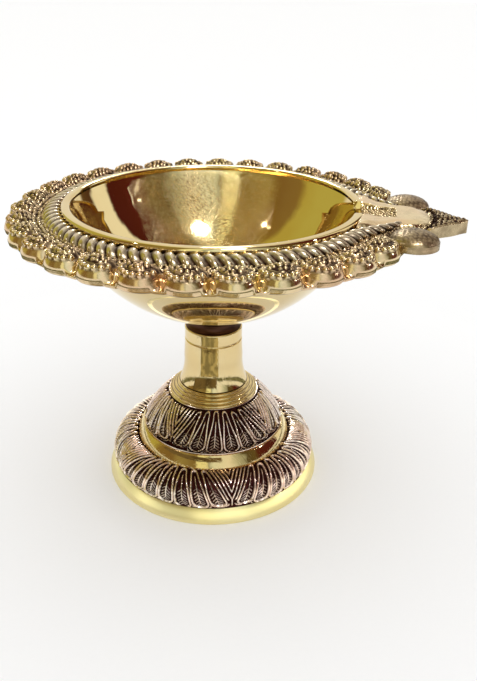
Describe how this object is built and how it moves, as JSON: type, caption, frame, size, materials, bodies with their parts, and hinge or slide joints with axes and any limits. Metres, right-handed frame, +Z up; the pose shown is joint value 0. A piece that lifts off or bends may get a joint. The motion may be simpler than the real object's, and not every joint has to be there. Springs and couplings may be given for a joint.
{
  "type": "diya oil lamp",
  "caption": "Brass diya oil lamp: round bowl with a scalloped, rope-bordered rim and a pointed wick spout, screwed to a turned stem on a two-tier petal foot.",
  "frame": {"origin": "centre of the foot's bottom ring, on the surface that the lamp stands on", "axes": "+X from the stem's axis towards the spout's tip, +Z up along the stem"},
  "size_m": [0.1148, 0.1028, 0.08],
  "materials": {
    "polished_brass": "polished",
    "chased_brass": "polished ridges over dark recesses",
    "dark_brass": "dark patina",
    "washer_steel": "plain"
  },
  "bodies": {
    "stand": {"stem": "polished_brass", "stem_collar": "polished_brass", "foot_upper": "chased_brass", "foot_lower": "chased_brass", "foot_washer": "washer_steel", "foot_screw": "washer_steel"},
    "neck": {"neck_screw": "dark_brass"},
    "dish": {"dish": "polished_brass"}
  },
  "joints": [
    {"name": "thread_lift", "type": "slide", "parent": "stand", "child": "neck", "axis": [0, 0, 1], "range_m": [0, 0.01]},
    {"name": "dish_turn", "type": "hinge", "parent": "neck", "child": "dish", "pos_m": [0, 0, 0.0476], "axis": [0, 0, 1], "range_deg": [0, 2880]}
  ],
  "couplings": [
    {"joint": "thread_lift", "follows": "dish_turn", "m_per_rad": 0.00019894}
  ]
}
